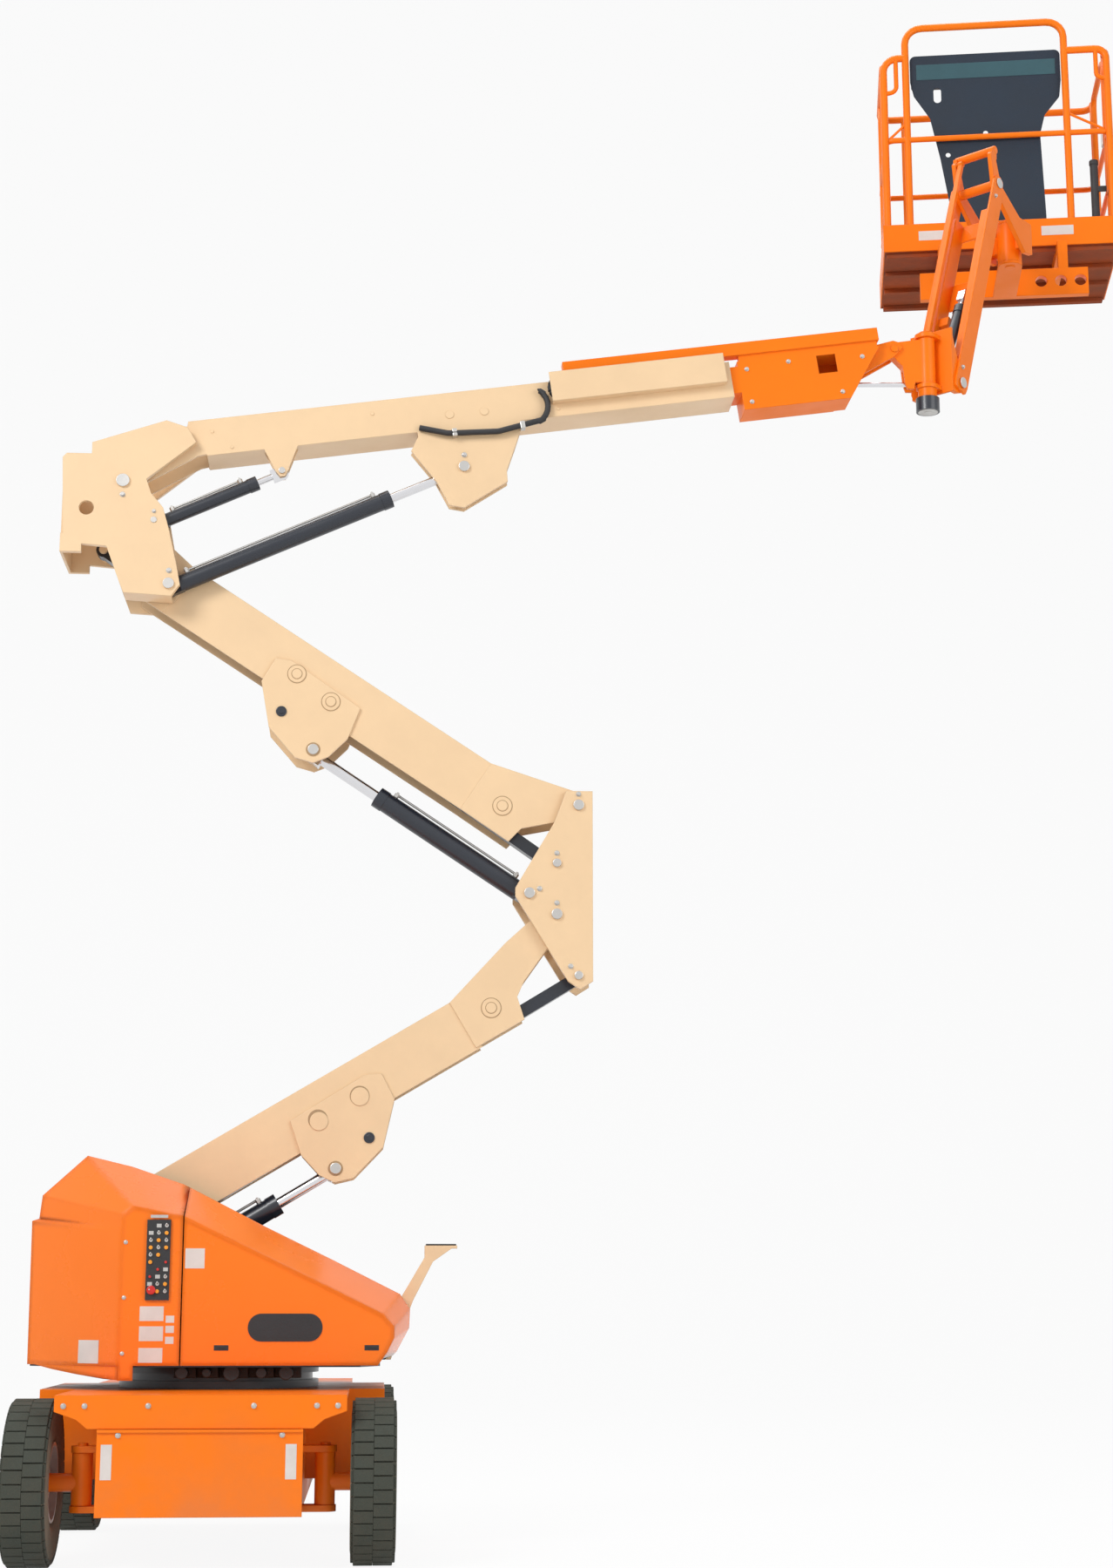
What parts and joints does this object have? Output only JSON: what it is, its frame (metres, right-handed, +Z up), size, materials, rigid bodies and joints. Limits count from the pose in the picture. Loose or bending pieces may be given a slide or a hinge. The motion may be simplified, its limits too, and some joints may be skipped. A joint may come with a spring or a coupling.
{
  "type": "articulating boom lift",
  "caption": "Electric articulating boom lift with a folding tower boom, telescopic main boom, swinging jib and rotating platform, posed with the tower and boom raised",
  "frame": {"origin": "on the ground, under the slewing axis", "axes": "+X towards the boom's tip, +Y to the machine's far side, +Z up"},
  "size_m": [5.3662, 2.9768, 7.6889],
  "materials": {
    "orange": "glossy orange enamel",
    "cream": "glossy cream enamel",
    "navy": "satin blue-black enamel",
    "chrome_rod": "polished hard chrome",
    "tyre_rubber": "moulded grey-green rubber",
    "rim_paint": "satin light enamel",
    "cast": "painted casting",
    "black_plastic": "grained black moulding",
    "console_plastic": "textured charcoal moulding",
    "battery": "moulded case"
  },
  "bodies": {
    "chassis": {"chassis_frame": "orange", "chassis_ballast": "cast", "slewing_ring": "navy", "drive_hubs": "navy"},
    "knuckle_left": {"steering_knuckle_left": "navy"},
    "knuckle_right": {"steering_knuckle_right": "navy"},
    "wheel_front_left": {"tyre_front_left": "tyre_rubber", "rim_front_left": "rim_paint"},
    "wheel_front_right": {"tyre_front_right": "tyre_rubber", "rim_front_right": "rim_paint"},
    "wheel_rear_left": {"tyre_rear_left": "tyre_rubber", "rim_rear_left": "rim_paint"},
    "wheel_rear_right": {"tyre_rear_right": "tyre_rubber", "rim_rear_right": "rim_paint"},
    "turntable": {"turntable_frame": "navy", "counterweight": "cast", "battery_packs": "battery", "rear_cover": "orange", "control_panel": "black_plastic", "boom_rest": "cream"},
    "hood_near": {"hood_near": "orange"},
    "hood_far": {"hood_far": "orange"},
    "lower_boom": {"lower_boom": "cream"},
    "lower_link": {"lower_timing_link": "navy"},
    "lower_upright": {"lower_upright": "cream"},
    "middle_boom": {"middle_boom": "cream"},
    "middle_link": {"middle_timing_link": "navy"},
    "upper_upright": {"upper_upright": "cream"},
    "lower_lift_barrel": {"lower_lift_barrel": "navy"},
    "lower_lift_rod": {"lower_lift_rod": "chrome_rod"},
    "middle_lift_barrel": {"middle_lift_barrel": "navy"},
    "middle_lift_rod": {"middle_lift_rod": "chrome_rod"},
    "main_boom": {"main_boom_base": "cream", "power_track": "cream"},
    "main_lift_barrel": {"main_lift_barrel": "navy"},
    "main_lift_rod": {"main_lift_rod": "chrome_rod"},
    "level_master_barrel": {"level_master_barrel": "navy"},
    "level_master_rod": {"level_master_rod": "chrome_rod"},
    "fly_boom": {"fly_boom": "orange"},
    "level_bracket": {"level_bracket": "navy"},
    "level_slave_rod": {"level_slave_rod": "chrome_rod"},
    "jib_head": {"jib_swing_head": "orange", "swing_actuator": "navy"},
    "jib_arm": {"jib_arm": "orange"},
    "jib_link": {"jib_timing_link": "navy"},
    "jib_end": {"jib_end": "orange"},
    "jib_barrel": {"jib_cylinder_barrel": "navy"},
    "jib_rod": {"jib_cylinder_rod": "chrome_rod"},
    "platform": {"platform_support": "orange", "platform_floor": "orange", "platform_rails": "orange", "platform_console": "console_plastic"},
    "gate": {"platform_gate": "orange"}
  },
  "joints": [
    {"name": "steer_left", "type": "hinge", "parent": "chassis", "child": "knuckle_left", "pos_m": [-0.47, -0.825, 0.33], "axis": [0, 0, 1], "range_deg": [-30, 30]},
    {"name": "steer_right", "type": "hinge", "parent": "chassis", "child": "knuckle_right", "pos_m": [0.47, -0.825, 0.33], "axis": [0, 0, 1], "range_deg": [-30, 30]},
    {"name": "wheel_front_left", "type": "hinge", "parent": "knuckle_left", "child": "wheel_front_left", "pos_m": [-0.66, -0.825, 0.3175], "axis": [1, 0, 0], "continuous": true},
    {"name": "wheel_front_right", "type": "hinge", "parent": "knuckle_right", "child": "wheel_front_right", "pos_m": [0.66, -0.825, 0.3175], "axis": [1, 0, 0], "continuous": true},
    {"name": "wheel_rear_left", "type": "hinge", "parent": "chassis", "child": "wheel_rear_left", "pos_m": [-0.66, 0.825, 0.3175], "axis": [1, 0, 0], "continuous": true},
    {"name": "wheel_rear_right", "type": "hinge", "parent": "chassis", "child": "wheel_rear_right", "pos_m": [0.66, 0.825, 0.3175], "axis": [1, 0, 0], "continuous": true},
    {"name": "swing", "type": "hinge", "parent": "chassis", "child": "turntable", "pos_m": [0, 0, 0.745], "axis": [0, 0, 1], "range_deg": [-180, 180]},
    {"name": "hood_near", "type": "hinge", "parent": "turntable", "child": "hood_near", "pos_m": [-0.122, -0.125, 1.472], "axis": [-0.8962, 0, 0.4436], "range_deg": [0, 65]},
    {"name": "hood_far", "type": "hinge", "parent": "turntable", "child": "hood_far", "pos_m": [-0.122, 0.205, 1.472], "axis": [0.8962, 0, -0.4436], "range_deg": [0, 65]},
    {"name": "tower_lift", "type": "hinge", "parent": "turntable", "child": "lower_boom", "pos_m": [-0.68, 0.04, 1.39], "axis": [0, -1, 0], "range_deg": [-30, 36]},
    {"name": "lower_link", "type": "hinge", "parent": "turntable", "child": "lower_link", "pos_m": [-0.584, 0.04, 1.118], "axis": [0, -1, 0], "range_deg": [-30, 36]},
    {"name": "lower_upright", "type": "hinge", "parent": "lower_boom", "child": "lower_upright", "pos_m": [1.433, 0.04, 2.683], "axis": [0, 1, 0], "range_deg": [-30, 36]},
    {"name": "middle_boom", "type": "hinge", "parent": "lower_upright", "child": "middle_boom", "pos_m": [1.53, 0.04, 3.176], "axis": [0, 1, 0], "range_deg": [-30, 36]},
    {"name": "middle_link", "type": "hinge", "parent": "lower_upright", "child": "middle_link", "pos_m": [1.433, 0.04, 2.912], "axis": [0, 1, 0], "range_deg": [-30, 36]},
    {"name": "upper_upright", "type": "hinge", "parent": "middle_boom", "child": "upper_upright", "pos_m": [-0.526, 0.04, 4.61], "axis": [0, -1, 0], "range_deg": [-30, 36]},
    {"name": "lower_lift_barrel", "type": "hinge", "parent": "turntable", "child": "lower_lift_barrel", "pos_m": [-0.42, 0.04, 1.03], "axis": [0, -1, 0], "range_deg": [-31.3, 37.42]},
    {"name": "lower_lift_rod", "type": "slide", "parent": "lower_lift_barrel", "child": "lower_lift_rod", "axis": [0.8576, 0, 0.5144], "range_m": [-0.22995, 0.27486]},
    {"name": "middle_lift_barrel", "type": "hinge", "parent": "lower_upright", "child": "middle_lift_barrel", "pos_m": [1.311, 0.04, 2.776], "axis": [0, -1, 0], "range_deg": [-35.04, 29.31]},
    {"name": "middle_lift_rod", "type": "slide", "parent": "middle_lift_barrel", "child": "middle_lift_rod", "axis": [-0.8339, 0, 0.5519], "range_m": [-0.23466, 0.28049]},
    {"name": "main_lift", "type": "hinge", "parent": "upper_upright", "child": "main_boom", "pos_m": [-0.526, -0.045, 4.61], "axis": [0, -1, 0], "range_deg": [-8.2, 66.8]},
    {"name": "main_lift_barrel", "type": "hinge", "parent": "upper_upright", "child": "main_lift_barrel", "pos_m": [-0.309, -0.112, 4.135], "axis": [0, -1, 0], "range_deg": [-8.46, 60.43]},
    {"name": "main_lift_rod", "type": "slide", "parent": "main_lift_barrel", "child": "main_lift_rod", "axis": [0.9112, 0, 0.4119], "range_m": [-0.07769, 0.5551]},
    {"name": "level_master_barrel", "type": "hinge", "parent": "upper_upright", "child": "level_master_barrel", "pos_m": [-0.384, -0.112, 4.43], "axis": [0, -1, 0], "range_deg": [-9.03, 64.54]},
    {"name": "level_master_rod", "type": "slide", "parent": "level_master_barrel", "child": "level_master_rod", "axis": [0.9081, 0, 0.4186], "range_m": [-0.03613, 0.25815]},
    {"name": "telescope", "type": "slide", "parent": "main_boom", "child": "fly_boom", "axis": [0.9898, 0, 0.1426], "range_m": [0, 1.2]},
    {"name": "level_bracket", "type": "hinge", "parent": "fly_boom", "child": "level_bracket", "pos_m": [3.02, -0.045, 5.38], "axis": [0, 1, 0], "range_deg": [-8.2, 66.8]},
    {"name": "level_slave_rod", "type": "hinge", "parent": "level_bracket", "child": "level_slave_rod", "pos_m": [3.099, -0.045, 5.218], "axis": [0, -1, 0], "range_deg": [-9.62, 68.77]},
    {"name": "jib_swing", "type": "hinge", "parent": "level_bracket", "child": "jib_head", "pos_m": [3.18, -0.045, 5.232], "axis": [0, 0, 1], "range_deg": [-136, 44]},
    {"name": "jib_lift", "type": "hinge", "parent": "jib_head", "child": "jib_arm", "pos_m": [3.25641, 0.03413, 5.232], "axis": [0.7193, -0.6947, 0], "range_deg": [-129.9, 5.1]},
    {"name": "jib_link", "type": "hinge", "parent": "jib_head", "child": "jib_link", "pos_m": [3.18661, 0.06261, 5.382], "axis": [0.7193, -0.6947, 0], "range_deg": [-129.9, 5.1]},
    {"name": "jib_end", "type": "hinge", "parent": "jib_arm", "child": "jib_end", "pos_m": [3.55243, 0.34066, 6.39648], "axis": [-0.7193, 0.6947, 0], "range_deg": [-129.9, 5.1]},
    {"name": "jib_barrel", "type": "hinge", "parent": "jib_head", "child": "jib_barrel", "pos_m": [3.27431, -0.00493, 5.35097], "axis": [0.7193, -0.6947, 0], "range_deg": [-135.51, 7.87]},
    {"name": "jib_rod", "type": "slide", "parent": "jib_barrel", "child": "jib_rod", "axis": [0.3163, 0.3275, 0.8903], "range_m": [-0.01375, 0.23664]},
    {"name": "platform_rotate", "type": "hinge", "parent": "jib_end", "child": "platform", "pos_m": [3.76083, 0.55647, 6.20648], "axis": [0, 0, -1], "range_deg": [-56, 124]},
    {"name": "gate", "type": "hinge", "parent": "platform", "child": "gate", "pos_m": [4.51742, 1.48418, 6.99], "axis": [0, 0, -1], "range_deg": [0, 85]}
  ],
  "couplings": [
    {"joint": "steer_right", "follows": "steer_left", "ratio": 1},
    {"joint": "lower_link", "follows": "tower_lift", "ratio": 1},
    {"joint": "lower_upright", "follows": "tower_lift", "ratio": 1},
    {"joint": "middle_boom", "follows": "tower_lift", "ratio": 1},
    {"joint": "middle_link", "follows": "tower_lift", "ratio": 1},
    {"joint": "upper_upright", "follows": "tower_lift", "ratio": 1},
    {"joint": "lower_lift_barrel", "follows": "tower_lift", "ratio": 1.019},
    {"joint": "lower_lift_rod", "follows": "tower_lift", "m_per_rad": 0.42888},
    {"joint": "middle_lift_barrel", "follows": "tower_lift", "ratio": -0.95423},
    {"joint": "middle_lift_rod", "follows": "tower_lift", "m_per_rad": 0.43766},
    {"joint": "main_lift_barrel", "follows": "main_lift", "ratio": 0.88691},
    {"joint": "main_lift_rod", "follows": "main_lift", "m_per_rad": 0.46678},
    {"joint": "level_master_barrel", "follows": "main_lift", "ratio": 0.94725},
    {"joint": "level_master_rod", "follows": "main_lift", "m_per_rad": 0.21708},
    {"joint": "level_bracket", "follows": "main_lift", "ratio": 1},
    {"joint": "level_slave_rod", "follows": "main_lift", "ratio": 1.0093},
    {"joint": "jib_link", "follows": "jib_lift", "ratio": 1},
    {"joint": "jib_end", "follows": "jib_lift", "ratio": 1},
    {"joint": "jib_barrel", "follows": "jib_lift", "ratio": 1.0227},
    {"joint": "jib_rod", "follows": "jib_lift", "m_per_rad": -0.10233}
  ]
}
